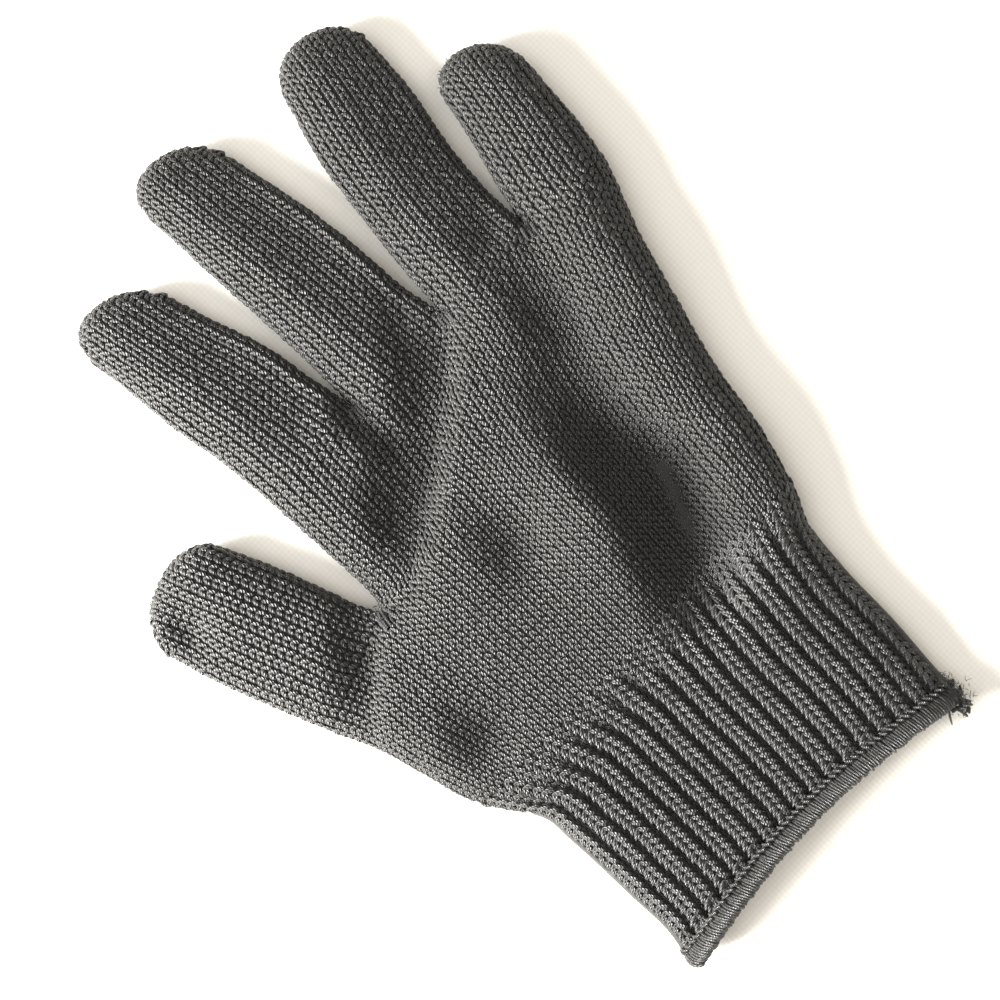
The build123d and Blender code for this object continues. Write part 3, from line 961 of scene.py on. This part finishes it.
def sleeve_loop(share, depth, pitch, offset=0.0):
    """Closed line round the cuff under its surface, evenly spaced, and its outward directions.
    The line follows a rib row, moved towards the palm by an offset."""
    y = rib_top + (mouth_middle - rib_top) * share
    t = (1 - np.cos(np.linspace(0, np.pi, 160))) / 2
    x = float(left_x(y)) + (float(right_x(y)) - float(left_x(y))) * t
    row = np.stack((x, rib_row_y(x, share) + offset), 1)
    top, back = ground_heights(row)
    back += 0.3
    top[[0, -1]] = side_height
    over = np.concatenate((row, top[:, None]), 1)
    under = np.concatenate((row, back[:, None]), 1)[-2:0:-1]
    loop = np.concatenate((over, under, over[:1]))
    run = np.concatenate(([0], np.cumsum(np.linalg.norm(np.diff(loop, axis=0), axis=1))))
    count = round(run[-1] / pitch)
    at = np.arange(count) / count * run[-1]
    loop = np.stack([np.interp(at, run, loop[:, k]) for k in range(3)], 1)
    along = np.roll(loop, -1, axis=0) - np.roll(loop, 1, axis=0)
    along /= np.linalg.norm(along, axis=1)[:, None]
    outward = np.stack((-along[:, 2], np.zeros(count), along[:, 0]), 1)
    outward /= np.linalg.norm(outward, axis=1)[:, None]
    return loop - outward * depth, along, outward


def yarn_piece(name, tubes, material):
    """Piece made of yarn tubes only."""
    piece = yarn_shape(name, *tubes)
    piece.data.materials.append(material)
    bpy.context.scene.collection.objects.link(piece)
    return piece


elastic = yarn_material("covered elastic", (0.012, 0.012, 0.013), (0.05, 0.05, 0.052), 0.6, 0.1)
rings = []
for row in range(cuff_row + 1, rib_rows - 2, 2):
    loop, _, _ = sleeve_loop(rib_share[row], elastic_depth, 1.5)
    rings.append(yarn_tube(loop, elastic_thickness / 2, elastic_thickness / 2, 5, closed=True, up=(0, 1, 0)))
threads = yarn_piece("elastic_threads", rings, elastic)
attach(threads, "cuff")
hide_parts("cuff_elastic")


# ------------------------------------------------------------
# The overlocked hem
# The cuff's raw edge is rolled in and wrapped with close turns of finer thread. A chain of slanted bead-
# like loops holds the wraps on the palm's side of the roll.

roll_height = 3.7
wrap_pitch = 0.72
bead_pitch = 1.8


def seat_tube(name, path, along, outward, half_width, half_height, sides, size):
    """Closed tube round a loop whose outermost faces are seats."""
    across = np.cross(along, outward)
    turn = 2 * np.pi * (np.arange(sides) - 0.5) / sides
    rings = (
        path[:, None]
        + outward[:, None] * (np.cos(turn)[:, None] * half_height)
        + across[:, None] * (np.sin(turn)[:, None] * half_width)
    )
    count = len(path)
    faces = []
    for i in range(count):
        here, there = i * sides, (i + 1) % count * sides
        for k in range(sides):
            m = (k + 1) % sides
            faces.append((here + k, here + m, there + m, there + k))
    mesh = bpy.data.meshes.new(name)
    mesh.from_pydata((rings.reshape(-1, 3) * mm).tolist(), [], faces, shade_flat=False)
    write_seats(mesh, np.tile(np.arange(sides) == 0, count), np.repeat(along, sides, axis=0),
                np.repeat(outward, sides, axis=0), np.tile(np.array(size, float), (count * sides, 1)))
    return mesh


hem_thread = yarn_material(
    "hem thread", (0.020, 0.019, 0.018), (0.085, 0.085, 0.082), 0.34, 0.1, twists=1.4, plies=2.0)
loop, along, outward = sleeve_loop(1.0, 0.7, wrap_pitch)
loop[:, 2] = np.maximum(loop[:, 2], roll_height / 2 + 0.3)
core_height = roll_height / 2 - 0.2
turn = np.linspace(0, 2 * np.pi, 15)[:-1]
wrap = yarn_shape("wrap", yarn_tube(
    np.stack((
        np.cos(turn) * (hem_width / 2 - 0.15),
        0.7 * np.cos(turn),
        np.sin(turn) * (roll_height / 2) - core_height * math.cos(math.pi / 8),
    ), 1), 0.40, 0.40, 5, closed=True, up=(0, 1, 0)))
roll = seat_tube("hem_roll", loop, along, outward, hem_width / 2 - 0.4, core_height, 8, (1, 1, 1))
hem = run_tree(knit_tree, roll, "hem_wraps", Shape=wrap, Size_spread=0.05, Lean_in_degrees=6.0, Seed=50,
               Yarn=hem_thread, Ground=ground_yarn)
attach(hem, "cuff")
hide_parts("hem_overlock")

bead_radii = (0.22, 0.42, 0.48, 0.42, 0.22)
bead = yarn_shape("bead", yarn_tube(
    [(-0.75, -0.8, -0.2), (-0.35, -0.45, 0.35), (0.1, 0.1, 0.45), (0.5, 0.6, 0.3), (0.8, 0.95, -0.3)],
    bead_radii, bead_radii, 6))
loop, along, outward = sleeve_loop(1.0, -0.1, bead_pitch, hem_width / 2 + 0.6)
chain_core = seat_tube("hem_chain", loop, along, outward, 0.3, 0.3, 6, (1, 1, 1))
chain = run_tree(knit_tree, chain_core, "hem_chain", Shape=bead, Size_spread=0.1, Lean_in_degrees=8.0,
                 Seed=51, Yarn=hem_thread, Ground=ground_yarn)
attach(chain, "cuff")


# ------------------------------------------------------------
# The end of the overlock chain
# Where the overlock's first and last stitches meet, at the right corner of the mouth, its cut chain is
# left as a short fuzzy tuft with one thread end sticking out of it.

tuft_place = np.array((43.4, -93.6, 5.0))


def strand(rng, start, direction, length, radius, curl, sides=4):
    """Short loose fibre that bends away from its direction by chance."""
    heading = np.array(direction, float)
    heading /= np.linalg.norm(heading)
    point = np.array(start, float)
    path = [point]
    bend = rng.normal(0, curl, 3)
    for _ in range(5):
        heading = heading + bend + rng.normal(0, curl / 2, 3)
        heading /= np.linalg.norm(heading)
        point = point + heading * length / 5
        point[2] = max(point[2], radius + 0.1)
        path.append(point)
    shrink = radius * np.array((1, 1, 0.95, 0.9, 0.75, 0.4))
    return yarn_tube(path, shrink, shrink, sides, up=(0.31, 0.17, 0.94))


rng = np.random.default_rng(21)
tubes = []
for _ in range(320):
    start = tuft_place + np.clip(rng.normal(0, (1.4, 3.0, 1.5)), -5, 5)
    direction = np.array((0.2, 0.0, 0.1)) + rng.normal(0, 0.8, 3)
    tubes.append(strand(rng, start, direction, rng.uniform(0.8, 1.9), 0.08, 0.4))
for _ in range(60):
    start = tuft_place + np.clip(rng.normal(0, (1.1, 2.8, 1.2)), -5, 5)
    tubes.append(strand(rng, start, rng.normal(0, 1, 3) * (1, 1, 0.5), rng.uniform(1.4, 2.6), 0.5, 0.9, 6))
tubes.append(strand(rng, (40.0, -96.0, 3.4), (-0.5, -0.8, -0.25), 5.5, 0.3, 0.08, 6))
tail = yarn_piece("overlock_tuft", tubes, hem_thread)
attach(tail, "cuff")
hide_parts("overlock_tail")


# ------------------------------------------------------------
# Linking stitches at the crotches
# Where two tubes part, the machine leaves a small hole that is drawn shut with a few turns of yarn. They
# show as small dark knots between the fingers and at the thumb.

linking_yarn = yarn_material("linking yarn", (0.012, 0.011, 0.011), (0.05, 0.05, 0.048), 0.6, 0.2)
link_names = ("thumb_index_join", "index_middle_join", "middle_ring_join", "ring_little_join")
# How far behind the crotch a turn's points lie, on which side of the glove, and their share of its slant
link_points = ((3.4, 1, 1.0), (1.8, 1, 0.6), (0.2, 1, 0.2), (-0.8, 0, 0), (0.2, -1, -0.2), (2.4, -1, -0.8))
link_radii = (0.3, 0.5, 0.55, 0.55, 0.5, 0.3)
for number, ((x, y), node) in enumerate(zip(crotches, link_names)):
    rng = np.random.default_rng(60 + number)
    seam = seam_x[number]
    heading = np.array((float(seam(y)) - float(seam(y - 4)), 4.0))
    heading /= np.linalg.norm(heading)
    across = np.array((heading[1], -heading[0]))
    tubes = []
    for offset in (-1.5, -0.6, 0.4, 1.4):
        slant = rng.uniform(-0.9, 0.9)
        path = []
        for back_off, lift, share in link_points:
            place = np.array((x, y)) - heading * back_off + across * (offset + slant * share)
            top, back = (float(z[0]) for z in ground_heights(place[None]))
            path.append((*place, top + 0.9 if lift > 0 else back - 0.7 if lift < 0 else side_height))
        tubes.append(yarn_tube(path, link_radii, link_radii, 6, up=(*across, 0)))
    for _ in range(10):
        start = np.array((x, y, side_height + 2.5)) + rng.normal(0, 1.0, 3)
        tubes.append(strand(rng, start, rng.normal(0, 1, 3), rng.uniform(1.2, 2.4), 0.12, 0.3))
    link = yarn_piece(node.replace("join", "links"), tubes, linking_yarn)
    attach(link, "palm" if number == 0 else "knuckles")
    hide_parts(node)


# ------------------------------------------------------------
# Closed fingertips
# Each tube ends in bound-off stitches whose cut yarn end is pulled back in, which leaves a slightly rough
# patch at the left of the tip.

# How far behind the tip's edge a stitch's points lie, their heights, and their share of its slant
tip_points = ((2.6, 8.4, 1.0), (0.9, 7.2, 0.5), (-0.3, side_height, 0), (0.9, 3.4, -0.5), (2.6, 2.4, -1.0))
tip_radii = (0.35, 0.6, 0.65, 0.6, 0.35)
for number, finger in enumerate(fingers):
    rng = np.random.default_rng(80 + number)
    plan = plans[finger.name]
    tubes = []
    middle = finger.tip[1]
    for offset in (-6.5, -4.6, -2.8, -1.0, 0.9):
        a = middle + offset
        end = float(plan.end(np.array(a)))
        slant = rng.uniform(-0.8, 0.8)
        path = [(*plan.plan(end - back_off, a + slant * share), z) for back_off, z, share in tip_points]
        tubes.append(yarn_tube(path, tip_radii, tip_radii, 6, up=(*plan.across, 0)))
    for _ in range(26):
        a = middle + rng.uniform(-8, 1.5)
        end = float(plan.end(np.array(a)))
        start = np.array((*plan.plan(end - 0.6, a), side_height + rng.uniform(-1.5, 2.5)))
        direction = np.array((*plan.along, 0.4)) + rng.normal(0, 0.8, 3)
        tubes.append(strand(rng, start, direction, rng.uniform(0.9, 1.9), 0.12, 0.35))
    closing = yarn_piece(f"{finger.name}_tip_stitches", tubes, linking_yarn)
    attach(closing, f"{finger.name}_tip")
    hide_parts(f"{finger.name}_tip_closing")
